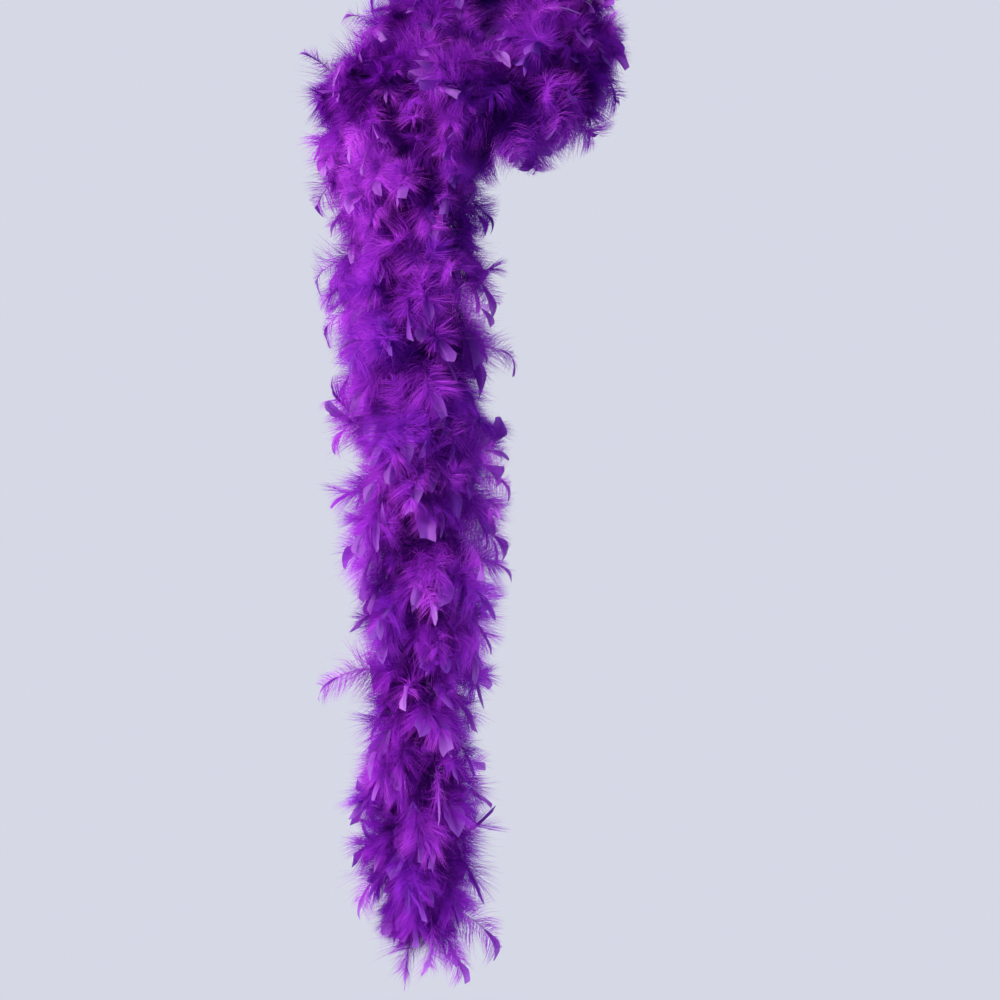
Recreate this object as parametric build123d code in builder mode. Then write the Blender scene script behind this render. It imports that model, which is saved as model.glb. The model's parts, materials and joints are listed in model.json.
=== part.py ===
from build123d import *

import math
import os
import random

os.makedirs("parts", exist_ok=True)

# A feather boa worn round a neck: one long cord that carries down and plumes, millimetres.
# X runs to the wearer's left, Y to the wearer's back, Z up. The origin is the point where
# the boa's nape stretch rests on the back of the neck.

# Driving dimensions
CORD_R = 2.5  # twisted cotton core cord
BORE_R = 3.8  # room for the cord and its tying thread inside the down
DOWN_R = 19.0  # down packed round the cord
GROOVE_R = 1.6  # shallow groove between two puffs of down
REACH_R = 80.0  # how far a plume's tip stands from the cord
THREAD_R = 0.5
THREAD_PITCH = 30.0  # between two ties of the thread
TIE_R = CORD_R + THREAD_R + 0.05  # radius of a tie's turn round the cord
WHIP_TURNS = 5
WHIP_PITCH = 1.8
KNOT_TURN_R = 3.6
KNOT_CORD_R = 2.2
KNOT_TURNS = 3
KNOT_LENGTH = 12.0
TRIM = 0.3  # each down section ends this far from the plane where it meets the next
RUN_SHARE = 0.45  # share of the shorter run that a bend takes on each side of its point

# Hanging tails: straight links below their top pivots
LINK = 156.0
FRONT_LINKS = 5
REAR_LINK = 150.0
CORD_GAP = 0.5  # from a pivot to the ball end of the cord
DOWN_GAP = 2.2  # from a pivot to the ball end of the down
CORD_TAIL = 12.0  # bare cord between the last down and the end knot

# Plumes
PLUME_WIDTH = 9.0
PLUME_THICK = 0.8
QUILL_R = 0.8  # half the quill rib's width and height
ROOT_R = 12.0  # quill roots are held this deep in the down
END_PLUME = 92.0  # length of the plumes that fan from a tail's end
END_COUNT = 8
END_SPREAD = 50.0  # lean of the outer end plumes from straight down, degrees
INNER_LEAN = 0.55  # the inner end plumes lean this share of the outer ones
WHORL = 6  # plumes in one whorl
STRAY = 0.12  # share of a plume's step round its whorl that it may stray
WHORL_PITCH = 29.0
WHORL_TURN = 27.5  # degrees that each whorl is turned on from the last
FIRST_WHORL = 34.0  # a plume stays this far below a pivot, so that the next link can swing
WRAP_PITCH = 31.0
CLEAR = 8.5  # least distance between points of two plumes
STALK_SHARES = (0.35, 0.5, 0.65, 0.8, 0.92, 1.0)  # points along a plume, as shares of its reach
STRAND_STEP = 12.0  # between points of the route that a plume is tested against
OWN_STRETCH = 45.0  # route points nearer than this are the plume's own stretch
SWING_R = 100.0  # space that a swinging tail's plumes sweep in front of its pivot

# The wearer's neck, kept free of plumes
NECK_CENTRE = (0.0, -68.0)
NECK_R = 57.0
NECK_LOW, NECK_HIGH = -150.0, 80.0

# The cord's route from the front tail's pivot, up the left side, round the nape, down the
# right side, across the chest, over the left shoulder and down the back to the rear tail.
ROUTE = [
    (-87, -198, -250),
    (-88, -190, -183),
    (-90, -158, -120),
    (-90, -106, -74),
    (-80, -50, -40),
    (-60, -3, -14),
    (-23, 19, 0),
    (23, 19, 0),
    (58, -4, -16),
    (72, -52, -42),
    (74, -108, -76),
    (60, -160, -110),
    (24, -194, -137),
    (-28, -215, -149),
    (-82, -221, -147),
    (-124, -202, -138),
    (-146, -158, -130),
    (-152, -100, -128),
    (-150, -42, -132),
    (-152, 12, -146),
    (-146, 56, -186),
    (-130, 74, -240),
]

# Down sections of the wrap: name, first and last route point whose bend it holds
SECTIONS = [
    ("front_rise", 1, 3),
    ("neck_left", 4, 5),
    ("nape", 6, 7),
    ("neck_right", 8, 9),
    ("collarbone", 10, 12),
    ("chest_crossing", 13, 15),
    ("left_shoulder", 16, 18),
    ("back_drop", 19, 20),
]

points = [Vector(*point) for point in ROUTE]


def bend_radius(i):
    """Radius of the bend at route point i: as large as its two runs allow."""
    arriving, leaving = points[i] - points[i - 1], points[i + 1] - points[i]
    half_turn = math.radians(arriving.get_angle(leaving)) / 2
    return RUN_SHARE * min(arriving.length, leaving.length) / math.tan(half_turn)


def towards(start, end, distance):
    """The point at a distance from start on the way to end."""
    return start + (end - start).normalized() * distance


def export(part, name):
    part.label = name
    export_step(part, f"parts/{name}.step")


radii = [bend_radius(i) for i in range(1, len(points) - 1)]
print("bend radii", [round(r) for r in radii])

with BuildLine() as wrap_route:
    FilletPolyline(*points, radius=radii)
wrap_path = wrap_route.wire()
WRAP_LENGTH = wrap_path.length
front_pivot, rear_pivot = points[0], points[-1]


# ---------------------------------------------------------------- the core cord


def swept(route, bends, radius, mode=Mode.ADD):
    """A round tube along straight runs joined by tangent arcs."""
    with BuildLine() as middle:
        FilletPolyline(*route, radius=bends)
    path = middle.wire()
    with BuildSketch(Plane(path @ 0, z_dir=path % 0)) as section:
        Circle(radius)
    sweep(sections=section.sketch, path=path, mode=mode)


def neck_cord():
    """The cord of the whole wrap, with a ball at each pivot."""
    setback = CORD_R + CORD_GAP
    first = towards(points[0], points[1], setback)
    last = towards(points[-1], points[-2], setback)
    with BuildPart() as cord:
        swept([first, *points[1:-1], last], radii, CORD_R)
        with Locations(first, last):
            Sphere(CORD_R)
    return cord.part


def link_cord(pivot, length, tail=0.0):
    """A straight stretch of cord below a pivot, its ends rounded, or run on to an end knot."""
    top = -CORD_R - CORD_GAP
    bottom = -length - tail if tail else -length + CORD_R + CORD_GAP
    with BuildPart() as cord:
        with BuildSketch(Plane.XY.offset(pivot.Z + bottom)):
            with Locations((pivot.X, pivot.Y)):
                Circle(CORD_R)
        extrude(amount=top - bottom)
        with Locations((pivot.X, pivot.Y, pivot.Z + top)):
            Sphere(CORD_R)
        if not tail:
            with Locations((pivot.X, pivot.Y, pivot.Z + bottom)):
                Sphere(CORD_R)
    return cord.part


# ---------------------------------------------------------------- thread and knots


def thread_ties(planes):
    """Turns of the thread that ties the quills to the cord, one in each plane."""
    with BuildPart() as thread:
        with Locations(*[plane.location for plane in planes]):
            Torus(TIE_R, THREAD_R)
    return thread.part


def end_whipping(top):
    """Close turns of thread wound round the bare cord at an end."""
    with BuildPart() as whipping:
        with Locations(*[top - Vector(0, 0, WHIP_PITCH * (k + 1)) for k in range(WHIP_TURNS)]):
            Torus(TIE_R, THREAD_R)
    return whipping.part


def end_knot(top):
    """The cord's barrel knot: fat turns round its own end."""
    pitch = (KNOT_LENGTH - 2 * KNOT_CORD_R) / (KNOT_TURNS - 1) - 0.2
    with BuildPart() as knot:
        with Locations(top - Vector(0, 0, KNOT_LENGTH / 2)):
            Cylinder(CORD_R, KNOT_LENGTH)
        for turn in range(KNOT_TURNS):
            with Locations(top - Vector(0, 0, KNOT_CORD_R + 0.2 + pitch * turn)):
                Torus(KNOT_TURN_R, KNOT_CORD_R)
    return knot.part


# ---------------------------------------------------------------- the down


def down_section(first, last):
    """Down round one stretch of the wrap, bored for the cord, balled off beside a pivot."""
    at_front, at_rear = first == 1, last == len(points) - 2
    setback = DOWN_R + DOWN_GAP
    if at_front:
        start, bore_start = towards(points[0], points[1], setback), points[0]
    else:
        start = towards((points[first - 1] + points[first]) * 0.5, points[first], TRIM)
        bore_start = start
    if at_rear:
        end, bore_end = towards(points[-1], points[-2], setback), points[-1]
    else:
        end = towards((points[last] + points[last + 1]) * 0.5, points[last], TRIM)
        bore_end = end
    bends = radii[first - 1 : last]
    held = points[first : last + 1]
    with BuildPart() as down:
        swept([start, *held, end], bends, DOWN_R)
        if at_front:
            with Locations(start):
                Sphere(DOWN_R)
        if at_rear:
            with Locations(end):
                Sphere(DOWN_R)
        swept([bore_start, *held, bore_end], bends, BORE_R, mode=Mode.SUBTRACT)
    return down.part


def link_down(pivot, length):
    """Down round one link of a hanging tail: a bored capsule, gathered into soft puffs."""
    ball = DOWN_R + DOWN_GAP
    with BuildPart() as down:
        with BuildSketch(Plane.XZ.offset(-pivot.Y)):
            with Locations((pivot.X, pivot.Z - length / 2)):
                SlotOverall(length - 2 * DOWN_GAP, 2 * DOWN_R, rotation=90)
            with Locations((pivot.X - DOWN_R, pivot.Z - length / 2)):
                Rectangle(2 * DOWN_R, length, mode=Mode.SUBTRACT)
        revolve(axis=Axis((pivot.X, pivot.Y, 0), (0, 0, 1)))
        with Locations((pivot.X, pivot.Y, pivot.Z - length / 2)):
            Cylinder(BORE_R, length, mode=Mode.SUBTRACT)
        puffs = int((length - 2 * ball) // WHORL_PITCH)
        for k in range(puffs):
            level = pivot.Z - length / 2 + (k - (puffs - 1) / 2) * WHORL_PITCH
            with Locations((pivot.X, pivot.Y, level)):
                Torus(DOWN_R, GROOVE_R, mode=Mode.SUBTRACT)
    return down.part


# ---------------------------------------------------------------- plumes


def plume(length):
    """One plume along +X from its quill root at the origin: a thin cupped vane on a quill rib."""
    rise, drop = 0.07 * length, 0.06 * length
    half = PLUME_WIDTH / 2
    edge = [(0.15, 0.15), (0.42, 0.8), (0.7, 1.0), (0.92, 0.75), (1.0, 0.25)]
    outline = [(share * length, width * half) for share, width in edge]
    with BuildPart() as feather:
        for thick, half_width in ((PLUME_THICK, half), (2 * QUILL_R, QUILL_R)):
            with BuildSketch(Plane.XZ) as side:
                with BuildLine():
                    t = thick / 2
                    ThreePointArc((0, t), (length / 2, rise + t), (length, t - drop))
                    Line((length, t - drop), (length, -t - drop))
                    ThreePointArc((length, -t - drop), (length / 2, rise - t), (0, -t))
                    Line((0, -t), (0, t))
                make_face()
            extrude(amount=half_width, both=True)
            if half_width == half:
                with BuildSketch(Plane.XY.offset(-length / 2)):
                    with BuildLine():
                        Polyline(*outline, *[(x, -y) for x, y in reversed(outline)], close=True)
                    make_face()
                extrude(amount=length, mode=Mode.INTERSECT)
    return feather.part


long_plume = plume(REACH_R - ROOT_R)
end_plume = plume(END_PLUME)


def plume_place(centre, along, outward):
    """Where a plume stands: root in the down, pointing outward, its tip drooping along."""
    return Location(Plane(centre + outward * ROOT_R, x_dir=outward, z_dir=along * -1))


def plume_group(feather, places):
    with BuildPart() as group:
        with Locations(*places):
            add(feather, clean=False)
    return group.part


def whorl_places(pivot, length):
    """Whorls of plumes down one straight link, none near enough to a pivot to foul a swing."""
    down = Vector(0, 0, -1)
    whorls = int((length - 2 * FIRST_WHORL) // WHORL_PITCH) + 1
    for k in range(whorls):
        centre = pivot + down * (FIRST_WHORL + k * WHORL_PITCH)
        for j in range(WHORL):
            turn = math.radians(360 / WHORL * j + WHORL_TURN * k)
            yield plume_place(centre, down, Vector(math.cos(turn), math.sin(turn), 0))


def end_tuft_places(bottom):
    """Plumes that fan down from the round end of a tail."""
    for j in range(END_COUNT):
        turn = 2 * math.pi * j / END_COUNT
        lean = math.radians(END_SPREAD * (1 if j % 2 else INNER_LEAN))
        side = Vector(math.cos(turn), math.sin(turn), 0)
        outward = side * math.sin(lean) - Vector(0, 0, math.cos(lean))
        along = side * -math.cos(lean) - Vector(0, 0, math.sin(lean))
        yield plume_place(bottom + Vector(0, 0, DOWN_R), along, outward)


def fouls_swing(point, pivot, forward):
    """True where a tail that swings about its pivot would meet a plume at this point."""
    offset = point - pivot
    beside = math.hypot(offset.X, offset.Y) < 1.3 * REACH_R
    ahead = offset.Y * forward > 0 and offset.length < SWING_R
    return ahead or (beside and offset.Z < FIRST_WHORL)


def in_neck(point):
    off_axis = math.hypot(point.X - NECK_CENTRE[0], point.Y - NECK_CENTRE[1])
    return off_axis < NECK_R and NECK_LOW < point.Z < NECK_HIGH


def stands_clear(stalk, others, taken):
    """True if a plume's points keep off the neck, the swings, other stretches and plumes."""
    return not (
        any(in_neck(p) for p in stalk)
        or any(fouls_swing(p, front_pivot, -1) or fouls_swing(p, rear_pivot, 1) for p in stalk)
        or any((p - s).length < DOWN_R + PLUME_WIDTH for p in stalk for s in others)
        or any((p - t).length < CLEAR for p in stalk for t in taken)
    )


def wrap_places():
    """Whorls of plumes round the wrap by section, leaving out each one that fouls something."""
    chance = random.Random(7)
    steps = int(WRAP_LENGTH // STRAND_STEP)
    strand = [wrap_path @ (k / steps) for k in range(steps + 1)]
    places = {name: [] for name, _, _ in SECTIONS}
    taken = []
    whorls = int(WRAP_LENGTH // WRAP_PITCH)
    for k in range(whorls):
        share = (k + 0.5) / whorls
        centre, along = wrap_path @ share, wrap_path % share
        side = along.cross(Vector(0, 0, 1)).normalized()
        up = side.cross(along).normalized()
        others = [s for s in strand if (s - centre).length > OWN_STRETCH]
        for j in range(WHORL):
            step = j + chance.uniform(-STRAY, STRAY)
            turn = 2 * math.pi * step / WHORL + k * math.radians(WHORL_TURN)
            outward = side * math.cos(turn) + up * math.sin(turn)
            stalk = [centre + outward * (share_out * REACH_R) for share_out in STALK_SHARES]
            if stands_clear(stalk, others, taken):
                taken.extend(stalk)
                places[section_of(centre)].append(plume_place(centre, along, outward))
    return places


def section_of(centre):
    """The down section that a point of the route belongs to."""
    i = min(range(1, len(points) - 1), key=lambda n: (points[n] - centre).length)
    return next(name for name, first, last in SECTIONS if first <= i <= last)


# ---------------------------------------------------------------- build and write

export(neck_cord(), "cord_neck")
ties = int(WRAP_LENGTH // THREAD_PITCH)
shares = [(k + 0.5) / ties for k in range(ties)]
export(thread_ties([Plane(wrap_path @ s, z_dir=wrap_path % s) for s in shares]), "thread_neck")
for name, first, last in SECTIONS:
    export(down_section(first, last), f"down_{name}")
for name, places in wrap_places().items():
    export(plume_group(long_plume, places), f"plumes_{name}")

links = [
    (f"front_{k + 1}", front_pivot - Vector(0, 0, k * LINK), LINK, k == FRONT_LINKS - 1)
    for k in range(FRONT_LINKS)
]
links.append(("rear", rear_pivot, REAR_LINK, True))
for name, pivot, length, is_last in links:
    export(link_cord(pivot, length, CORD_TAIL if is_last else 0), f"cord_{name}")
    levels = [pivot.Z - THREAD_PITCH * (k + 0.5) for k in range(int(length // THREAD_PITCH))]
    planes = [Plane((pivot.X, pivot.Y, level)) for level in levels]
    export(thread_ties(planes), f"thread_{name}")
    export(link_down(pivot, length), f"down_{name}")
    export(plume_group(long_plume, list(whorl_places(pivot, length))), f"plumes_{name}")
    if is_last:
        bottom = pivot - Vector(0, 0, length)
        tuft = plume_group(end_plume, list(end_tuft_places(bottom)))
        export(tuft, f"plumes_{name}_end")
        export(end_whipping(bottom), f"whipping_{name}")
        export(end_knot(bottom - Vector(0, 0, CORD_TAIL)), f"knot_{name}")
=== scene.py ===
"""A violet feather boa, worn: fluffy plumes on one long cord, round the neck and down the front."""

import json
import math

import bpy
import numpy as np
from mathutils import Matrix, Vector


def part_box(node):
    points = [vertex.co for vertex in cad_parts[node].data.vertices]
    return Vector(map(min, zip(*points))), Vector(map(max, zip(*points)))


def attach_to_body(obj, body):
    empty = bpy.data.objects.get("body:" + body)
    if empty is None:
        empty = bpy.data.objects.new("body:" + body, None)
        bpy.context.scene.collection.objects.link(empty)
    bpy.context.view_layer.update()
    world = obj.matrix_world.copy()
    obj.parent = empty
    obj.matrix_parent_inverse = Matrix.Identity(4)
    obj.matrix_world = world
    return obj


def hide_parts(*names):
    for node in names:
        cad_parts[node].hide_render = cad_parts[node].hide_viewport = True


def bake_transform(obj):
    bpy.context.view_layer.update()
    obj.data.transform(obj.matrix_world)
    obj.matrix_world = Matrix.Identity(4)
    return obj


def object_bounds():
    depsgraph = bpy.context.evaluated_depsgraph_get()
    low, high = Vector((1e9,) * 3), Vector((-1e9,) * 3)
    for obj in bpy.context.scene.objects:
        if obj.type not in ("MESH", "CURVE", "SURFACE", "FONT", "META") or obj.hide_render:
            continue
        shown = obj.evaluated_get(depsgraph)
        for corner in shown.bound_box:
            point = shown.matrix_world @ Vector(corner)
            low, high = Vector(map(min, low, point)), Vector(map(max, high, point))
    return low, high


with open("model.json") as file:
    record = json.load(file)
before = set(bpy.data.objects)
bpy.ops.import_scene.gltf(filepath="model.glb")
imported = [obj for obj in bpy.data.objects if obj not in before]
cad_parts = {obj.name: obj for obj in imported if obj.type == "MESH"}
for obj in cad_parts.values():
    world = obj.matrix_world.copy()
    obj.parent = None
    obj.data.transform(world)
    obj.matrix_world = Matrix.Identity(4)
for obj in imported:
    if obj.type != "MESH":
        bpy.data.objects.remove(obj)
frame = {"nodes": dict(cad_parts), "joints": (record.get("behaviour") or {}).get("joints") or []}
cad_low, cad_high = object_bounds()

# ---------------------------------------------------------------- the boa's line

# The cord's route, as in part.py, from the front tail's pivot to the rear tail's, in metres.
WRAP_ROUTE = [
    (-0.087, -0.198, -0.250),
    (-0.088, -0.190, -0.183),
    (-0.090, -0.158, -0.120),
    (-0.090, -0.106, -0.074),
    (-0.080, -0.050, -0.040),
    (-0.060, -0.003, -0.014),
    (-0.023, 0.019, 0.000),
    (0.023, 0.019, 0.000),
    (0.058, -0.004, -0.016),
    (0.072, -0.052, -0.042),
    (0.074, -0.108, -0.076),
    (0.060, -0.160, -0.110),
    (0.024, -0.194, -0.137),
    (-0.028, -0.215, -0.149),
    (-0.082, -0.221, -0.147),
    (-0.124, -0.202, -0.138),
    (-0.146, -0.158, -0.130),
    (-0.152, -0.100, -0.128),
    (-0.150, -0.042, -0.132),
    (-0.152, 0.012, -0.146),
    (-0.146, 0.056, -0.186),
    (-0.130, 0.074, -0.240),
]
CORD_D = 0.005
FRONT_LINKS = 5
WRAP_STRETCHES = 8
SAME_POINT = 1e-7
LINE_STEP = 0.002
END_INSET = 0.004

joints = {j["name"]: j for j in frame["joints"]}
front_pivots = [Vector(j["pos_m"]) for n, j in joints.items() if n.startswith("front")]
rear_pivot = Vector(joints["rear_swing"]["pos_m"])
link = (front_pivots[0] - front_pivots[1]).length
front_end = Vector((*front_pivots[0][:2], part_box("cord_front_5")[0].z))
rear_end = Vector((*rear_pivot[:2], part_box("cord_rear")[0].z))


def nurbs_points(points, resolution=24):
    """Points of the smooth NURBS line through a given route, as an array."""
    curve = bpy.data.curves.new("route", "CURVE")
    curve.dimensions = "3D"
    spline = curve.splines.new("NURBS")
    spline.points.add(len(points) - 1)
    for place, point in zip(spline.points, points, strict=True):
        place.co = (*point, 1)
    spline.order_u = 3
    spline.use_endpoint_u = True
    curve.resolution_u = resolution
    holder = bpy.data.objects.new("route", curve)
    mesh = bpy.data.meshes.new_from_object(holder)
    line = np.array([v.co for v in mesh.vertices])
    bpy.data.objects.remove(holder)
    bpy.data.curves.remove(curve)
    bpy.data.meshes.remove(mesh)
    return line


first_run = (Vector(WRAP_ROUTE[0]) - Vector(WRAP_ROUTE[1])).length
last_run = (Vector(WRAP_ROUTE[-1]) - Vector(WRAP_ROUTE[-2])).length
BOA_ROUTE = [
    front_end,
    front_pivots[0] - Vector((0, 0, first_run)),
    *WRAP_ROUTE,
    rear_pivot - Vector((0, 0, last_run)),
    rear_end,
]


class Line:
    """The boa's centreline by arc length, with a frame that doesn't twist."""

    def __init__(self, points):
        steps = np.linalg.norm(np.diff(points, axis=0), axis=1)
        keep = np.r_[True, steps > SAME_POINT]
        points = points[keep]
        steps = np.linalg.norm(np.diff(points, axis=0), axis=1)
        self.at = np.r_[0, np.cumsum(steps)]
        self.length = self.at[-1]
        fine = np.arange(0, self.length, LINE_STEP)
        self.fine = np.r_[fine, self.length]
        self.points = np.stack([np.interp(self.fine, self.at, points[:, k]) for k in range(3)], 1)
        tangents = np.gradient(self.points, axis=0)
        self.tangents = tangents / np.linalg.norm(tangents, axis=1)[:, None]
        u = np.cross(self.tangents[0], (0, 1, 0))
        sides = []
        for t in self.tangents:
            u = u - t * (u @ t)
            u = u / np.linalg.norm(u)
            sides.append(u)
        self.sides = np.array(sides)

    def sample(self, where):
        """Positions, tangents and two cross directions at arc lengths."""
        out = []
        for field in (self.points, self.tangents, self.sides):
            out.append(np.stack([np.interp(where, self.fine, field[:, k]) for k in range(3)], 1))
        p, t, u = out
        t /= np.linalg.norm(t, axis=1)[:, None]
        u -= t * np.sum(u * t, axis=1)[:, None]
        u /= np.linalg.norm(u, axis=1)[:, None]
        return p, t, u, np.cross(t, u)

    def nearest(self, point, low=0.0, high=math.inf):
        """The arc length, between low and high, whose point is nearest to a given one."""
        inside = (self.fine >= low) & (self.fine <= high)
        gap = np.linalg.norm(self.points - np.array(point), axis=1)
        return self.fine[np.argmin(np.where(inside, gap, math.inf))]


boa = Line(nurbs_points(BOA_ROUTE))
print("boa length", round(boa.length, 3))

# ---------------------------------------------------------------- stretches and what they ride on


class Stretch:
    """A part of the boa between two arc lengths, and the body or two bodies it moves with."""

    def __init__(self, name, low, high, bodies, bend=None):
        self.name, self.low, self.high = name, low, high
        self.bodies, self.bend = bodies, bend


def lay_out_stretches():
    """The boa's stretches from the front tail's end to the rear one's; those over a pivot keep the
    points of their two ends.
    """
    pivots_at = [boa.nearest(p, high=boa.length * 0.5) for p in front_pivots]
    middles = [s - link / 2 for s in pivots_at]
    half = link / 2
    made = [Stretch("tail_end", 0.0, middles[4], ["front_5"])]
    for k in range(FRONT_LINKS, 0, -1):
        above = "neck_wrap" if k == 1 else f"front_{k - 1}"
        low, high = middles[k - 1], pivots_at[k - 1] + half
        ends = boa.sample(np.array([high, low]))[0]
        made.append(Stretch(f"tail_{k}", low, high, [above, f"front_{k}"], ends))
    rear_at = boa.nearest(rear_pivot, low=boa.length * 0.5)
    wrap_low, wrap_high = made[-1].high, rear_at - half
    for k in range(WRAP_STRETCHES):
        low = wrap_low + (wrap_high - wrap_low) * k / WRAP_STRETCHES
        high = wrap_low + (wrap_high - wrap_low) * (k + 1) / WRAP_STRETCHES
        made.append(Stretch(f"wrap_{k + 1}", low, high, ["neck_wrap"]))
    low, high = wrap_high, rear_at + half
    ends = boa.sample(np.array([low, high]))[0]
    made.append(Stretch("rear_top", low, high, ["neck_wrap", "rear"], ends))
    made.append(Stretch("rear_end", high, boa.length, ["rear"]))
    return made


stretches = lay_out_stretches()


def attach(obj, stretch):
    """Rides obj on its stretch's body; one over a pivot has its place baked into its mesh instead.
    """
    if stretch.bend is None:
        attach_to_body(obj, stretch.bodies[0])
    else:
        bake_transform(obj)


# ---------------------------------------------------------------- mesh helpers


def mesh_object(name, points, faces_by_size, material, fields=None, smooth=False):
    """A mesh from arrays: points (n, 3), faces as a list of (m, corners) index arrays."""
    mesh = bpy.data.meshes.new(name)
    counts = np.concatenate([np.full(len(f), f.shape[1]) for f in faces_by_size])
    corners = np.concatenate([f.ravel() for f in faces_by_size])
    starts = np.r_[0, np.cumsum(counts)[:-1]]
    mesh.vertices.add(len(points))
    mesh.loops.add(len(corners))
    mesh.polygons.add(len(counts))
    mesh.vertices.foreach_set("co", np.asarray(points, np.float32).ravel())
    mesh.loops.foreach_set("vertex_index", corners.astype(np.int32))
    mesh.polygons.foreach_set("loop_start", starts.astype(np.int32))
    mesh.polygons.foreach_set("loop_total", counts.astype(np.int32))
    mesh.update(calc_edges=True)
    mesh.validate()
    for field, values in (fields or {}).items():
        layer = mesh.attributes.new(field, "FLOAT", "POINT")
        layer.data.foreach_set("value", np.asarray(values, np.float32))
    mesh.polygons.foreach_set("use_smooth", np.full(len(counts), smooth))
    mesh.materials.append(material)
    obj = bpy.data.objects.new(name, mesh)
    bpy.context.scene.collection.objects.link(obj)
    return obj


TINY = 1e-9


def unit(v):
    return v / np.maximum(np.linalg.norm(v, axis=-1, keepdims=True), TINY)


# ---------------------------------------------------------------- materials


def node_material(name):
    material = bpy.data.materials.new(name)
    material.use_nodes = True
    tree = material.node_tree
    return material, tree, tree.nodes["Principled BSDF"]


def attribute(tree, name):
    node = tree.nodes.new("ShaderNodeAttribute")
    node.attribute_name = name
    return node.outputs["Fac"]


def ramp(tree, factor, stops):
    node = tree.nodes.new("ShaderNodeValToRGB")
    while len(node.color_ramp.elements) < len(stops):
        node.color_ramp.elements.new(0.5)
    for element, (place, colour) in zip(node.color_ramp.elements, stops, strict=True):
        element.position = place
        element.color = (*colour, 1)
    tree.links.new(factor, node.inputs["Fac"])
    return node.outputs["Color"]


def mixed_colour(tree, factor, a, b, kind="MIX"):
    node = tree.nodes.new("ShaderNodeMix")
    node.data_type = "RGBA"
    node.blend_type = kind
    for socket, value in ((node.inputs[0], factor), (node.inputs[6], a), (node.inputs[7], b)):
        if isinstance(value, (int, float)):
            socket.default_value = value
        elif isinstance(value, tuple):
            socket.default_value = (*value, 1)
        else:
            tree.links.new(value, socket)
    return node.outputs[2]


def maths(tree, operation, *values):
    node = tree.nodes.new("ShaderNodeMath")
    node.operation = operation
    for socket, value in zip(node.inputs, values):
        if isinstance(value, (int, float)):
            socket.default_value = value
        else:
            tree.links.new(value, socket)
    return node.outputs[0]


def see_through(tree, shader, colour, share):
    """Lets part of the light pass through a thin feather to its other side."""
    translucent = tree.nodes.new("ShaderNodeBsdfTranslucent")
    tree.links.new(colour, translucent.inputs["Color"])
    mix = tree.nodes.new("ShaderNodeMixShader")
    mix.inputs[0].default_value = share
    tree.links.new(shader.outputs[0], mix.inputs[1])
    tree.links.new(translucent.outputs[0], mix.inputs[2])
    tree.links.new(mix.outputs[0], tree.nodes["Material Output"].inputs["Surface"])


def dye_and_painted_shade(tree, painted_shade_stops, tips):
    """The dye's colour with painted shade: darkened near the cord as painted shade in the fluff's
    depths, brighter at the tips, each feather with its own cast.
    """
    base = ramp(tree, attribute(tree, "reach"), painted_shade_stops)
    cast = ramp(tree, attribute(tree, "tint"), tips)
    return mixed_colour(tree, 1.0, base, cast, "MULTIPLY")


def fluff_material():
    """Dyed down: matt, with a faint sheen, and lit through from behind."""
    material, tree, shader = node_material("fluff")
    # By reach, very dark near the cord: painted shade in the fluff's depths; by tint, each plume's
    # own cast
    colour = dye_and_painted_shade(
        tree,
        [
            (0.0, (0.018, 0.001, 0.062)),
            (0.40, (0.084, 0.002, 0.220)),
            (0.68, (0.285, 0.013, 0.508)),
            (1.0, (0.520, 0.058, 0.750)),
        ],
        [(0.0, (0.74, 0.7, 0.90)), (0.5, (0.97, 0.95, 0.98)), (1.0, (1.15, 1.4, 1.05))],
    )
    tree.links.new(colour, shader.inputs["Base Color"])
    shader.inputs["Roughness"].default_value = 0.75
    shader.inputs["Specular IOR Level"].default_value = 0.08
    shader.inputs["Sheen Weight"].default_value = 0.12
    shader.inputs["Sheen Roughness"].default_value = 0.5
    shader.inputs["Sheen Tint"].default_value = (0.62, 0.16, 0.95, 1)
    see_through(tree, shader, colour, 0.40)
    return material


BARB_LINES = 3.1


def web_material():
    """The flat webs: the same dye, lighter, in fine lines along the barbs that make the web."""
    material, tree, shader = node_material("web")
    # By reach, darker at the web's root: painted shade towards the cord; by tint, each plume's own
    # cast
    colour = dye_and_painted_shade(
        tree,
        [
            (0.0, (0.130, 0.005, 0.280)),
            (0.6, (0.300, 0.036, 0.500)),
            (1.0, (0.460, 0.140, 0.670)),
        ],
        [(0.0, (0.65, 0.6, 0.86)), (0.5, (0.95, 1.0, 1.0)), (1.0, (1.2, 1.5, 1.1))],
    )
    wave = maths(tree, "SINE", maths(tree, "MULTIPLY", attribute(tree, "barb"), BARB_LINES))
    shade = maths(tree, "MULTIPLY_ADD", wave, 0.5, 0.5)
    lines = ramp(tree, shade, [(0.0, (0.72, 0.66, 0.80)), (1.0, (1.1, 1.1, 1.05))])
    colour = mixed_colour(tree, 1.0, colour, lines, "MULTIPLY")
    tree.links.new(colour, shader.inputs["Base Color"])
    bump = tree.nodes.new("ShaderNodeBump")
    bump.inputs["Strength"].default_value = 0.25
    bump.inputs["Distance"].default_value = 0.0004
    tree.links.new(wave, bump.inputs["Height"])
    tree.links.new(bump.outputs[0], shader.inputs["Normal"])
    shader.inputs["Roughness"].default_value = 0.48
    shader.inputs["Specular IOR Level"].default_value = 0.25
    shader.inputs["Sheen Weight"].default_value = 0.10
    shader.inputs["Sheen Tint"].default_value = (0.7, 0.35, 1.0, 1)
    see_through(tree, shader, colour, 0.50)
    return material


def noise_colour(tree, scale, stops):
    coords = tree.nodes.new("ShaderNodeTexCoord")
    noise = tree.nodes.new("ShaderNodeTexNoise")
    noise.inputs["Scale"].default_value = scale
    noise.inputs["Detail"].default_value = 4
    tree.links.new(coords.outputs["Object"], noise.inputs["Vector"])
    return ramp(tree, noise.outputs["Fac"], stops)


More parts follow.
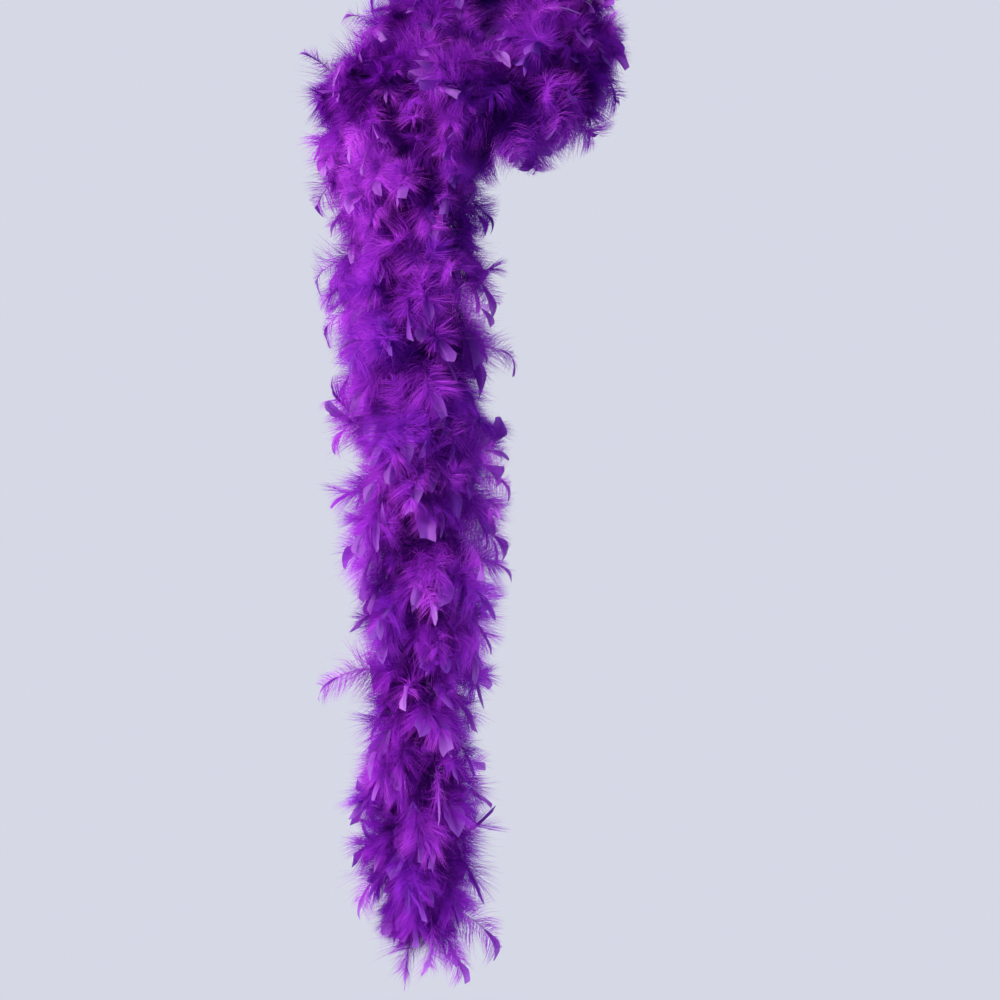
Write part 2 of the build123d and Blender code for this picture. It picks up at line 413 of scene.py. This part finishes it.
def core_material():
    """The packed down round the cord, dark because the fluff shades it."""
    material, tree, shader = node_material("core_down")
    colour = noise_colour(tree, 260, [(0.3, (0.012, 0.001, 0.040)), (0.75, (0.060, 0.003, 0.160))])
    tree.links.new(colour, shader.inputs["Base Color"])
    shader.inputs["Roughness"].default_value = 0.95
    shader.inputs["Specular IOR Level"].default_value = 0.05
    return material


def twine_material(name, dark, light):
    """Dyed cotton: fibres that run round the twine, lighter where they rub."""
    material, tree, shader = node_material(name)
    colour = noise_colour(tree, 900, [(0.3, dark), (0.7, light)])
    tree.links.new(colour, shader.inputs["Base Color"])
    shader.inputs["Roughness"].default_value = 0.85
    shader.inputs["Specular IOR Level"].default_value = 0.15
    return material


FLUFF, WEB, CORE = fluff_material(), web_material(), core_material()
CORD = twine_material("cord", (0.020, 0.004, 0.050), (0.070, 0.016, 0.150))
THREAD = twine_material("thread", (0.030, 0.004, 0.070), (0.110, 0.020, 0.220))

# ---------------------------------------------------------------- plumes

PLUMES_PER_METRE = 560
BARBS_EACH = 640
PLUME = 0.078
BARB = 0.028
BARB_HALF_WIDTH = 0.00020
LOCKS = 9
STEPS = 10
DOWN = np.array([0.0, 0.0, -1.0])
GOLDEN = math.pi * (3 - math.sqrt(5))

# How full the boa is along its length: places in metres from the front tail's end, and shares
# of a full plume. It is thin in the tail's lower part, fullest two thirds up it, and thinnest
# over the shoulder and down the back.
FULLNESS = (
    (0.00, 0.70),
    (0.05, 0.76),
    (0.11, 0.65),
    (0.16, 0.74),
    (0.24, 0.61),
    (0.36, 0.80),
    (0.46, 0.98),
    (0.55, 0.99),
    (0.61, 1.09),
    (0.67, 1.03),
    (0.75, 0.94),
    (0.86, 1.00),
    (1.02, 0.80),
    (1.20, 0.84),
    (1.38, 0.75),
    (1.50, 0.88),
    (1.60, 0.80),
    (1.68, 0.53),
    (1.86, 0.51),
    (2.00, 0.84),
    (2.14, 0.74),
)
# How far from the cord the feathers may reach, and the outer share of that in which they are
# eased inwards
REACH_LIMIT = ((0.00, 0.100), (0.06, 0.117), (0.72, 0.117), (0.80, 0.097))
SOFT_PART = 0.2
# By how much the plumes towards +X outgrow the others, or fall short of them
RIGHT_BIAS = ((0.0, 0.0), (0.2, 0.03), (0.33, 0.16), (0.45, 0.10), (0.66, -0.07), (0.85, 0.0))
# How much more the plumes hang on the collar and, most, on the chest crossing
WRAP_SAG = ((1.0, 0.0), (1.1, 0.3), (1.4, 0.5), (1.5, 0.60), (1.6, 0.60), (1.7, 0.0))
# The distance from the cord at which the painted shade is gone and the dye is at its palest
FULL_REACH = 0.085

# Kinds of plume: with a broad web, with a narrow one, or a stray, which is long and thin
BROAD_SHARE, NARROW_SHARE, STRAY_SHARE = 0.27, 0.19, 0.11
END_REACH = 0.06
END_STRAYS, END_LEAN, END_SHORTER = 0.12, 0.8, 0.54
FALLING_SHARE, FALLING_WEBBED_SHARE = 0.62, 0.7
LEAN = (0.15, 1.0)
WEBBED_LEAN, WEBBED_LEAN_SHARE, STRAY_LEAN_SHARE = 0.10, 0.6, 0.3
WEBBED_LONGER, WEBBED_RAISED = 1.20, 0.012
# A stray's paleness is a painted glow, standing in for light shining through its thin feather
STRAY_LONGER, STRAY_LEAST, STRAY_PAINTED_GLOW = 0.70, 0.76, 0.4
FLUFF_SIZE = 1.04
LUMPINESS = 0.17
STRAY_DROOP, WEBBED_BOW = (0.5, 2.2), (0.8, 3.2)
ROOT_OUT = (0.002, 0.010)
# What differs from one plume to the next, each as a mean and a spread: the turn round the cord,
# the roll about the quill, the size, the curl along and round the cord, and the sag
TURN_STRAY, ROLL = (0.0, 0.35), (0.0, 0.6)
SIZE, LEAST_SIZE, MOST_SIZE = (1.0, 0.15), 0.65, 1.35
CURL_ALONG, CURL_ROUND = (0.45, 0.6), (0.0, 0.75)
SAG, MOST_SAG = (0.50, 0.30), 1.2
# Each plume's own cast of the dye: its mean, its spread and how far the waves below change it
TINT_MEAN, TINT_SPREAD, TINT_CAST = 0.5, 0.19, 0.22
# A plume curls and sags more towards its tip, by this power
CURLS_LATE = 1.3

# Waves along the boa, in radians for each metre, none a multiple of another: they gather the
# plumes into tufts, make these long or short, and give them their own cast of the dye
TUFT_DRAW, TUFT_WAVES = 0.007, (105.0, 31.0)
LUMP_WAVES = (88.0, 37.0)
CAST_WAVES = (61.0, 23.0)


def dot(a, b):
    return np.sum(a * b, axis=-1, keepdims=True)


def column(values):
    return np.asarray(values)[:, None]


def from_table(place, table):
    """A value that changes along the boa or a plume, from a table of places and values."""
    places, values = zip(*table)
    return np.interp(place, places, values)


def fullness(where):
    return from_table(where, FULLNESS)


def grow_plumes(stretch, seed):
    """Everything that places one stretch's plumes: their quill lines, frames and kinds."""
    rng = np.random.default_rng(seed)
    span = stretch.high - stretch.low
    count = int(span * PLUMES_PER_METRE)
    index = np.arange(count)
    where = stretch.low + (index + rng.random(count)) / count * span
    where += TUFT_DRAW * np.sin(where * TUFT_WAVES[0] + 2.0 * np.sin(where * TUFT_WAVES[1]))
    where = np.clip(where, END_INSET, boa.length - END_INSET)
    centre, tangent, u, v = boa.sample(where)
    turn = index * GOLDEN + rng.normal(*TURN_STRAY, count) + seed
    radial = u * column(np.cos(turn)) + v * column(np.sin(turn))
    round_way = np.cross(tangent, radial)
    falls = np.where(tangent[:, 2] < 0, 1.0, -1.0)
    along = tangent * column(np.where(rng.random(count) < FALLING_SHARE, falls, -falls))
    to_end = np.minimum(where, boa.length - where)
    ending = np.clip(1 - to_end / END_REACH, 0, 1)

    kind = rng.random(count)
    broad = kind < BROAD_SHARE
    narrow = (kind >= BROAD_SHARE) & (kind < BROAD_SHARE + NARROW_SHARE)
    webbed = broad | narrow
    stray = kind > 1 - STRAY_SHARE - END_STRAYS * ending
    follows = webbed & (rng.random(count) < FALLING_WEBBED_SHARE)
    along = np.where(column(follows | (ending > 0)), tangent * column(falls), along)

    lean = rng.uniform(*LEAN, count)
    lean = np.where(webbed, WEBBED_LEAN + lean * WEBBED_LEAN_SHARE, lean)
    lean = np.where(stray, lean * STRAY_LEAN_SHARE, lean)
    lean = lean + rng.uniform(0.0, END_LEAN, count) * ending
    start = radial * column(np.cos(lean)) + along * column(np.sin(lean))
    roll = rng.normal(*ROLL, count) + np.where(stray, math.pi / 2, 0.0)
    flat = round_way * column(np.cos(roll)) + np.cross(start, round_way) * column(np.sin(roll))

    full = fullness(where)
    size = np.where(stray, np.maximum(full, STRAY_LEAST), FLUFF_SIZE * full)
    length = PLUME * size * np.clip(rng.normal(*SIZE, count), LEAST_SIZE, MOST_SIZE)
    lump = np.sin(where * LUMP_WAVES[0] + 2.2 * np.sin(turn + seed))
    lump *= np.cos(2.0 * turn + where * LUMP_WAVES[1])
    bias = from_table(where, RIGHT_BIAS) * radial[:, 0]
    length *= 1 + LUMPINESS * lump + bias + np.where(stray, STRAY_LONGER, -END_SHORTER * ending)
    length *= np.where(webbed, WEBBED_LONGER, 1.0)

    curl = along * column(rng.normal(*CURL_ALONG, count))
    curl = curl + round_way * column(rng.normal(*CURL_ROUND, count))
    sag = np.clip(rng.normal(*SAG, count), 0, MOST_SAG) + from_table(where, WRAP_SAG)
    droop = np.where(stray, rng.uniform(*STRAY_DROOP, count), 0.0)
    bow = np.where(webbed, rng.uniform(*WEBBED_BOW, count), 0.0)
    raised = np.where(webbed, WEBBED_RAISED, 0.0)
    points = [centre + radial * column(rng.uniform(*ROOT_OUT, count) + raised)]
    headings = [start]
    for k in range(STEPS):
        share = (k + 0.5) / STEPS
        bent = start + (curl + DOWN * column(sag)) * share**CURLS_LATE
        bent = unit(bent + DOWN * column(droop * share**2) + along * column(bow * share**2))
        points.append(points[-1] + bent * column(length / STEPS))
        headings.append(bent)

    cast = np.sin(where * CAST_WAVES[0] + 1.7 * np.cos(turn)) + np.cos(turn + where * CAST_WAVES[1])
    # Strays are painted paler: a painted glow of the light through their thin feathers
    tint = TINT_MEAN + TINT_CAST * cast + rng.normal(0, TINT_SPREAD, count) + STRAY_PAINTED_GLOW * stray
    return {
        "lines": np.stack(points, 1),
        "headings": np.stack(headings, 1),
        "flat": flat,
        "length": length,
        "broad": broad,
        "narrow": narrow,
        "stray": stray,
        "tint": np.clip(tint, 0, 1),
        "centre": centre,
        "reach_max": from_table(where, REACH_LIMIT),
        "rng": rng,
    }


def on_line(field, feather, share):
    """A per-plume line field at given shares of the plume, by plume index."""
    place = np.clip(share, 0, 1) * STEPS
    low = np.minimum(place.astype(int), STEPS - 1)
    part = column(place - low)
    return field[feather, low] * (1 - part) + field[feather, low + 1] * part


def plume_frame(plumes, feather, share):
    """Quill point, heading, in-plane side and face direction at shares of some plumes."""
    base = on_line(plumes["lines"], feather, share)
    heading = unit(on_line(plumes["headings"], feather, share))
    flat = plumes["flat"][feather]
    flat = unit(flat - heading * dot(flat, heading))
    return base, heading, flat, np.cross(heading, flat)


def drawn_in(points, plumes, feather):
    """Each plume's points, no further from the cord than its stretch allows, and their reach."""
    centre = plumes["centre"][feather][:, None, :]
    most = plumes["reach_max"][feather][:, None, None]
    offset = points - centre
    far = np.linalg.norm(offset, axis=-1, keepdims=True)
    spare = SOFT_PART * most
    free = most - spare
    eased = free + spare * np.tanh((np.maximum(far, free) - free) / spare)
    points = centre + offset * np.where(far > free, eased / np.maximum(far, TINY), 1.0)
    return points, np.clip(far[..., 0] / FULL_REACH, 0, 1)


# From a plume's root to its tip: how far the barbs open, in degrees, how long they are, as a
# share of the longest, and how loose they hang
BARB_OPENING = ((0.0, 82), (0.5, 70), (0.85, 58), (1.0, 36))
BARB_SIZE = ((0.0, 0.35), (0.08, 0.65), (0.3, 1.0), (0.6, 0.95), (0.85, 0.80), (1.0, 0.60))
BARB_LOOSENESS = ((0.0, 1.0), (0.45, 0.95), (1.0, 0.35))
BARE_SHAFT = 0.02
DOWNY_SHARE = 0.70
STRAY_DOWNY_SHARE = 0.8
STRAY_TIP_BARBS = 0.6
# How much the locks differ: in lift and opening, in bend, and in size
LOCK_LIFT, LOCK_OPEN, LOCK_BEND, LOCK_SIZE = 0.45, 0.16, 0.17, (0.80, 1.15)
# How far a barb bends towards its plume's tip, its plume's face, the ground and its lock
TIPWARDS, CUPPED, DROOPING, GATHERED = 0.42, 0.6, 0.22, 0.15
# How far single barbs stray from their lock in lift, opening and bend: the least, and how much
# more the loosest do
LIFT_STRAY, OPEN_STRAY, BEND_STRAY = (0.22, 0.55), (0.06, 0.16), (0.04, 0.13)
CUP, RIBBON_TURN = (0.25, 0.3), (0.0, 0.55)
PLUME_LOOSENESS = (0.35, 1.0)
BARB_LONGER, BARB_WIDER, BARB_TINT = (0.82, 1.08), (0.75, 1.25), 0.05
# How closely a barb's length follows its plume's, as a power
FOLLOWS_PLUME = 0.6
# A stray's down is crowded low on its quill, by this power
CROWDED_LOW = 2.2
# A barb's ribbon: places along it and its width there, as shares
BARB_ROWS = ((0.0, 0.9), (0.52, 1.0), (1.0, 0.0))


def up_to(strays, loose):
    """How far each barb may stray, from the least to the most for the loosest."""
    least, more = strays
    return least + more * loose


def barbs(plumes, each):
    """Downy barbs along every quill, combed into locks, as narrow tapered ribbons."""
    rng = plumes["rng"]
    count = len(plumes["length"])
    feather = np.repeat(np.arange(count), each)
    n = len(feather)
    number = np.tile(np.arange(each), count)
    share = (number + rng.random(n)) / each
    webbed = (plumes["broad"] | plumes["narrow"])[feather]
    stray = plumes["stray"][feather]
    share = BARE_SHAFT + share * np.where(webbed, DOWNY_SHARE, 1 - BARE_SHAFT)
    share = np.where(stray, BARE_SHAFT + share**CROWDED_LOW * STRAY_DOWNY_SHARE, share)
    hand = np.where(number % 2 == 0, 1.0, -1.0)
    lock = np.minimum((share * LOCKS).astype(int), LOCKS - 1)
    its_lock = feather, lock, (hand > 0).astype(int)
    lock_lift = rng.normal(0, LOCK_LIFT, (count, LOCKS, 2))[its_lock]
    lock_open = rng.normal(0, LOCK_OPEN, (count, LOCKS, 2))[its_lock]
    lock_bend = rng.normal(0, LOCK_BEND, (count, LOCKS, 2, 3))[its_lock]
    lock_size = rng.uniform(*LOCK_SIZE, (count, LOCKS, 2))[its_lock]
    cup = rng.normal(*CUP, count)[feather]
    lock_share = (lock + 0.5) / LOCKS
    base, heading, flat, face = plume_frame(plumes, feather, share)
    gather = on_line(plumes["lines"], feather, lock_share) - base
    loose = rng.uniform(*PLUME_LOOSENESS, count)[feather] * from_table(share, BARB_LOOSENESS)
    lift = lock_lift + rng.normal(0, 1, n) * up_to(LIFT_STRAY, loose)
    open_angle = np.radians(from_table(share, BARB_OPENING)) + lock_open
    open_angle = open_angle + rng.normal(0, 1, n) * up_to(OPEN_STRAY, loose)
    side = flat * column(hand * np.cos(lift)) + face * column(np.sin(lift))
    out = heading * column(np.cos(open_angle)) + side * column(np.sin(open_angle))
    size = BARB * from_table(share, BARB_SIZE) * lock_size * rng.uniform(*BARB_LONGER, n)
    size *= (plumes["length"][feather] / PLUME) ** FOLLOWS_PLUME
    size *= np.where(stray & (share > 0.5), STRAY_TIP_BARBS, 1.0)
    bend = heading * TIPWARDS + face * column(cup) * CUPPED + lock_bend + DOWN * DROOPING
    bend = bend + rng.normal(0, 1, (n, 3)) * column(up_to(BEND_STRAY, loose))
    turn = rng.normal(*RIBBON_TURN, n)
    wide = unit(np.cross(face, out))
    wide = wide * column(np.cos(turn)) + face * column(np.sin(turn))
    half = BARB_HALF_WIDTH * rng.uniform(*BARB_WIDER, n)
    rows = []
    for t, width in BARB_ROWS:
        middle = base + gather * (GATHERED * t * t) + (out * t + bend * t * t) * column(size)
        if width:
            rows.append(middle - wide * column(half * width))
            rows.append(middle + wide * column(half * width))
        else:
            rows.append(middle)
    points, reach = drawn_in(np.stack(rows, 1), plumes, feather)
    first = np.arange(n)[:, None] * len(rows)
    faces = [first + [0, 1, 3, 2], first + [2, 3, 4]]
    tint = np.clip(plumes["tint"][feather] + rng.normal(0, BARB_TINT, n), 0, 1)
    fields = {"reach": reach.ravel(), "tint": np.repeat(tint, len(rows))}
    return points.reshape(-1, 3), faces, fields


def grid_faces(sheets, rows, cols, wrap=False):
    """Quads of several grids of points, each rows by cols, closed round if wrap."""
    last = cols if wrap else cols - 1
    cells = []
    for r in range(rows - 1):
        for a in range(last):
            b = (a + 1) % cols
            cells.append([r * cols + a, r * cols + b, (r + 1) * cols + b, (r + 1) * cols + a])
    first = np.arange(sheets)[:, None, None] * rows * cols
    return (first + np.array(cells)[None]).reshape(-1, 4)


WEB_ROWS, WEB_COLS = 10, 7
PAST_THE_TIP = 1.04
ROOT_WIDTH = 0.12
NOTCH_LENGTH = 0.07
BARB_SLOPE = 0.6
MILLIMETRES = 1000
# A web's place on the ramp of dye and painted shade, darker at its root as painted shade towards the
# cord: at its root, how much further on at its tip, and on its rib
WEB_SHADE, TIP_PALER, RIB_DARKER = 0.30, 0.60, 0.12


def webs(plumes, kind, begins, half_widths, painted_glow=0.0):
    """The flat webs of one kind of plume: folded, cut blunt or aslant, with a notch or two."""
    rng = plumes["rng"]
    chosen = np.flatnonzero(plumes[kind])
    n = len(chosen)
    begin = rng.uniform(*begins, n)
    half = rng.uniform(*half_widths, n)
    fold = rng.normal(0.0, 0.6, n)
    sweep = rng.normal(0.25, 0.25, n)
    twist = rng.normal(0, 0.6, n)
    waves = rng.normal(0, 0.10, (n, 2))
    peak = rng.uniform(0.30, 0.90, (n, 2))
    end_width = rng.uniform(0.40, 1.00, (n, 2))
    cut_back = rng.uniform(-0.12, 0.40, (n, 2))
    notch_at = rng.uniform(0.35, 0.95, (n, 2))
    notch = rng.uniform(-0.5, 0.5, (n, 2)).clip(0)
    ragged = rng.uniform(0.93, 1.05, (n, WEB_ROWS, 2))
    points, reach, barb = [], [], []
    for r in range(WEB_ROWS):
        t = r / (WEB_ROWS - 1)
        for c in range(WEB_COLS):
            x = c / (WEB_COLS - 1) * 2 - 1
            edge = 0 if x < 0 else 1
            along = t * (1 - cut_back[:, edge] * abs(x))
            share = begin + (PAST_THE_TIP - begin) * along
            base, heading, flat, face = plume_frame(plumes, chosen, share)
            base = base + heading * column(np.maximum(share - 1, 0) * plumes["length"][chosen])
            angle = twist * along
            side = flat * column(np.cos(angle)) + face * column(np.sin(angle))
            normal = np.cross(heading, side)
            rising = ROOT_WIDTH + (1 - ROOT_WIDTH) * t / peak[:, edge]
            falling = 1 - (1 - end_width[:, edge]) * (t - peak[:, edge]) / (1 - peak[:, edge])
            outline = np.minimum(rising, falling)
            cut = 1 - notch[:, edge] * np.exp(-(((t - notch_at[:, edge]) / NOTCH_LENGTH) ** 2))
            width = half * outline * np.where(abs(x) == 1, ragged[:, r, edge] * cut, 1.0)
            lift = abs(x) * fold + np.sin(t * 5 + x * 2) * waves[:, edge]
            offset = side * column(x * width) + normal * column(lift * width)
            points.append(base + offset + heading * column(abs(x) * sweep * width))
            # Darker at the root as painted shade towards the cord; a stray's extra paleness is a
            # painted glow of light through it
            shade = painted_glow + WEB_SHADE + TIP_PALER * t - RIB_DARKER * (x == 0)
            reach.append(np.full(n, shade))
            on_barb = share * plumes["length"][chosen] - abs(x) * BARB_SLOPE * half
            barb.append(on_barb * MILLIMETRES)
    points, _ = drawn_in(np.stack(points, 1), plumes, chosen)
    fields = {
        "reach": np.clip(np.stack(reach, 1), 0, 1).ravel(),
        "tint": np.repeat(plumes["tint"][chosen], WEB_ROWS * WEB_COLS),
        "barb": np.stack(barb, 1).ravel(),
    }
    return points.reshape(-1, 3), [grid_faces(n, WEB_ROWS, WEB_COLS)], fields


QUILL_SIDES = 3
QUILL_ROOT, QUILL_TIP = 0.00050, 0.00016
# The quills' places on the ramp, root to tip: darker at the root as painted shade towards the cord
QUILL_SHADES = (0.3, 0.9)


def quills(plumes):
    """Each plume's shaft as a fine three-sided rod."""
    lines, headings = plumes["lines"], plumes["headings"]
    n, rows = lines.shape[0], lines.shape[1]
    flat = plumes["flat"][:, None, :]
    side = unit(flat - headings * dot(flat, headings))
    normal = np.cross(headings, side)
    thick = np.linspace(QUILL_ROOT, QUILL_TIP, rows)[None, :, None]
    corners = [2 * math.pi * k / QUILL_SIDES for k in range(QUILL_SIDES)]
    rings = [lines + (side * math.cos(a) + normal * math.sin(a)) * thick for a in corners]
    each = rows * QUILL_SIDES
    points, _ = drawn_in(np.stack(rings, 2).reshape(n, each, 3), plumes, np.arange(n))
    fields = {
        "reach": np.tile(np.repeat(np.linspace(*QUILL_SHADES, rows), QUILL_SIDES), n),
        "tint": np.repeat(plumes["tint"], each),
        "barb": np.zeros(n * each),
    }
    return points.reshape(-1, 3), [grid_faces(n, rows, QUILL_SIDES, wrap=True)], fields


def joined(*parts):
    """Several (points, faces, fields) sets as one."""
    points, faces, fields, offset = [], [], {}, 0
    for part_points, part_faces, part_fields in parts:
        points.append(part_points)
        faces.extend(f + offset for f in part_faces)
        for key, values in part_fields.items():
            fields.setdefault(key, []).append(values)
        offset += len(part_points)
    return np.concatenate(points), faces, {k: np.concatenate(v) for k, v in fields.items()}


def spokes(u, v, angle):
    """Directions out from the line at each of its places, all the way round."""
    across = u[:, None] * np.cos(angle)[None, :, None]
    return across + v[:, None] * np.sin(angle)[None, :, None]


CORE_RADIUS = 0.021
CORE_SIDES = 28
CORE_RING = 0.004
CORE_OVERLAP = 0.002
CORE_CAP = 0.02
CORE_FULLEST, CORE_THINS = 1.05, 1.5
CORE_LUMPS, CORE_LUMP = 14, 0.0011


def core_fluff(stretch, seed):
    """The dark packed down round the cord, a lumpy closed roll."""
    rng = np.random.default_rng(1000 + seed)
    rings = max(8, int((stretch.high - stretch.low) / CORE_RING))
    low, high = stretch.low - CORE_OVERLAP, stretch.high + CORE_OVERLAP
    where = np.clip(np.linspace(low, high, rings), END_INSET, boa.length - END_INSET)
    centre, _, u, v = boa.sample(where)
    angle = np.linspace(0, 2 * math.pi, CORE_SIDES, endpoint=False)
    full = np.clip(fullness(where), 0, CORE_FULLEST) ** CORE_THINS
    radius = np.tile((CORE_RADIUS * full)[:, None], (1, CORE_SIDES))
    for _ in range(CORE_LUMPS):
        waves, pitch = rng.integers(1, 6), rng.uniform(60, 260)
        phase = rng.uniform(0, 6.28, 2)
        round_it = np.sin(waves * angle[None, :] + phase[0])
        radius += CORE_LUMP * round_it * np.sin(pitch * where[:, None] + phase[1])
    cap = np.clip(np.minimum(where - boa.fine[0], boa.length - where) / CORE_CAP, 0.05, 1) ** 0.5
    radius *= cap[:, None]
    points = (centre[:, None] + spokes(u, v, angle) * radius[..., None]).reshape(-1, 3)
    quads = grid_faces(1, rings, CORE_SIDES, wrap=True)
    start, end = len(points), len(points) + 1
    points = np.concatenate([points, centre[:1], centre[-1:]])
    k = np.arange(CORE_SIDES)
    k2 = (k + 1) % CORE_SIDES
    last = (rings - 1) * CORE_SIDES
    start_cap = np.stack([k2, k, np.full(CORE_SIDES, start)], 1)
    end_cap = np.stack([last + k, last + k2, np.full(CORE_SIDES, end)], 1)
    return points, [quads, start_cap, end_cap]


# The CAD nodes that each stretch's feathers stand in for
REPLACED = {
    "tail_end": ["plumes_front_5_end"],
    "tail_5": ["down_front_5", "plumes_front_5"],
    "tail_4": ["down_front_4", "plumes_front_4"],
    "tail_3": ["down_front_3", "plumes_front_3"],
    "tail_2": ["down_front_2", "plumes_front_2"],
    "tail_1": ["down_front_1", "plumes_front_1"],
    "wrap_1": ["down_front_rise", "plumes_front_rise"],
    "wrap_2": ["down_neck_left", "plumes_neck_left"],
    "wrap_3": ["down_nape", "plumes_nape"],
    "wrap_4": ["down_neck_right", "plumes_neck_right"],
    "wrap_5": ["down_collarbone", "plumes_collarbone"],
    "wrap_6": ["down_chest_crossing", "plumes_chest_crossing"],
    "wrap_7": ["down_left_shoulder", "plumes_left_shoulder"],
    "wrap_8": ["down_back_drop", "plumes_back_drop"],
    "rear_top": ["down_rear", "plumes_rear"],
    "rear_end": ["plumes_rear_end"],
}

TUBE_SIDES = 12
STRANDS = 3
CORD_TWIST = 420
STRAND_DEPTH = 0.14


def cord_tube(stretch, radius=CORD_D / 2):
    """The twisted core cord of one stretch: a tube with three strands' lobes that turn along it."""
    where = boa.fine[(boa.fine > stretch.low) & (boa.fine < stretch.high)]
    where = np.r_[stretch.low, where, stretch.high]
    centre, _, u, v = boa.sample(where)
    angle = np.linspace(0, 2 * math.pi, TUBE_SIDES, endpoint=False)
    lobes = np.abs(np.cos(STRANDS / 2 * (angle[None, :] - where[:, None] * CORD_TWIST)))
    size = radius * (1 - STRAND_DEPTH + STRAND_DEPTH * lobes)
    points = (centre[:, None] + spokes(u, v, angle) * size[..., None]).reshape(-1, 3)
    quads = grid_faces(1, len(where), TUBE_SIDES, wrap=True)
    ring = np.arange(TUBE_SIDES)
    ends = np.stack([ring[::-1], (len(where) - 1) * TUBE_SIDES + ring])
    return points, [quads, ends], centre


CORD_NODES = {
    "tail_end": ["cord_front_5"],
    "tail_4": ["cord_front_4"],
    "tail_3": ["cord_front_3"],
    "tail_2": ["cord_front_2"],
    "tail_1": ["cord_front_1"],
    "wrap_1": ["cord_neck"],
    "rear_end": ["cord_rear"],
}

for number, stretch in enumerate(stretches):
    plumes = grow_plumes(stretch, number + 1)
    points, faces, fields = barbs(plumes, BARBS_EACH)
    fluff = mesh_object(f"fluff_{stretch.name}", points, faces, FLUFF, fields, smooth=True)
    flats = joined(
        webs(plumes, "broad", (0.34, 0.56), (0.0062, 0.0122)),
        webs(plumes, "narrow", (0.42, 0.62), (0.0024, 0.0046)),
        # Stray webs painted paler, a painted glow of light through them
        webs(plumes, "stray", (0.58, 0.72), (0.0044, 0.0076), painted_glow=0.3),
        quills(plumes),
    )
    web = mesh_object(f"webs_{stretch.name}", flats[0], flats[1], WEB, flats[2], smooth=True)
    core_points, core_faces = core_fluff(stretch, number)
    core = mesh_object(f"core_{stretch.name}", core_points, core_faces, CORE, smooth=True)
    cord_points, cord_faces, cord_line = cord_tube(stretch)
    cord = mesh_object(f"rope_{stretch.name}", cord_points, cord_faces, CORD, smooth=True)
    for obj, slot in ((fluff, "down"), (web, "plume"), (core, "down"), (cord, "cord")):
        attach(obj, stretch)
    downs = [n for n in REPLACED[stretch.name] if n.startswith("down")]
    feathers = [n for n in REPLACED[stretch.name] if n.startswith("plumes")]
    if downs:
        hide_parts(*downs)
    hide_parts(*feathers)
    if stretch.name in CORD_NODES:
        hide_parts(*CORD_NODES[stretch.name])

for name, node in frame["nodes"].items():
    if name.startswith(("thread_", "whipping_", "knot_")):
        for place in node.material_slots:
            place.material = CORD if name.startswith("knot_") else THREAD

# ---------------------------------------------------------------- stage, light, camera

scene = bpy.context.scene
scene.view_settings.view_transform = "Standard"
world = bpy.data.worlds.new("studio")
scene.world = world
world.use_nodes = True
BACKDROP = (0.672, 0.687, 0.791, 1)
AMBIENT = (0.24, 0.20, 0.45, 1)
shown = world.node_tree.nodes["Background"]
shown.inputs["Color"].default_value = BACKDROP
lit = world.node_tree.nodes.new("ShaderNodeBackground")
lit.inputs["Color"].default_value = AMBIENT
path = world.node_tree.nodes.new("ShaderNodeLightPath")
pick = world.node_tree.nodes.new("ShaderNodeMixShader")
world.node_tree.links.new(path.outputs["Is Camera Ray"], pick.inputs[0])
world.node_tree.links.new(lit.outputs[0], pick.inputs[1])
world.node_tree.links.new(shown.outputs[0], pick.inputs[2])
world.node_tree.links.new(pick.outputs[0], world.node_tree.nodes["World Output"].inputs["Surface"])

FLOOR_Z = cad_low.z - 0.35
FLOOR_RADIUS = 1.3


def floor():
    """A plain pale disc under the boa, out of the camera's sight in the main view."""
    place = (0, -0.1, FLOOR_Z)
    add = bpy.ops.mesh.primitive_circle_add
    add(vertices=96, radius=FLOOR_RADIUS, fill_type="NGON", location=place)
    obj = bpy.context.object
    obj.name = "floor"
    material, _, shader = node_material("floor")
    shader.inputs["Base Color"].default_value = (0.50, 0.51, 0.54, 1)
    shader.inputs["Roughness"].default_value = 0.8
    obj.data.materials.append(material)


def area_light(name, place, target, size, power, colour, spread=180):
    """A round soft light, turned to a target: size in metres, power in watts, spread in degrees."""
    light = bpy.data.lights.new(name, "AREA")
    light.shape = "DISK"
    light.size = size
    light.energy = power
    light.color = colour
    light.spread = math.radians(spread)
    obj = bpy.data.objects.new(name, light)
    obj.location = place
    obj.rotation_euler = (Vector(target) - Vector(place)).to_track_quat("-Z", "Y").to_euler()
    obj.visible_camera = False
    scene.collection.objects.link(obj)


floor()
area_light("key", (-2.35, -1.35, 0.7), (-0.08, -0.15, -0.5), 1.1, 172, (1.0, 0.90, 0.90))
area_light("fill", (1.6, -2.4, 0.0), (-0.05, -0.15, -0.5), 1.6, 3.5, (0.62, 0.64, 1.0))
area_light("behind", (0.5, 2.4, -0.2), (-0.08, -0.15, -0.6), 2.4, 42, (0.92, 0.92, 1.0))
TAIL_LOW = (-0.087, -0.2, -0.92)
area_light("low_fill", (0.9, -2.0, -0.95), TAIL_LOW, 0.6, 0.75, (0.85, 0.78, 1.0), spread=18)

camera_data = bpy.data.cameras.new("camera")
camera = bpy.data.objects.new("camera", camera_data)
scene.collection.objects.link(camera)
scene.camera = camera
VIEW_DISTANCE = 3.2
VIEW_WIDTH = 1.1
SENSOR = 36
camera.location = (0.003, front_pivots[0].y - VIEW_DISTANCE, -0.580)
camera.rotation_euler = (math.pi / 2, 0, 0)
camera_data.sensor_width = SENSOR
camera_data.lens = SENSOR * VIEW_DISTANCE / VIEW_WIDTH
camera_data.clip_end = 50
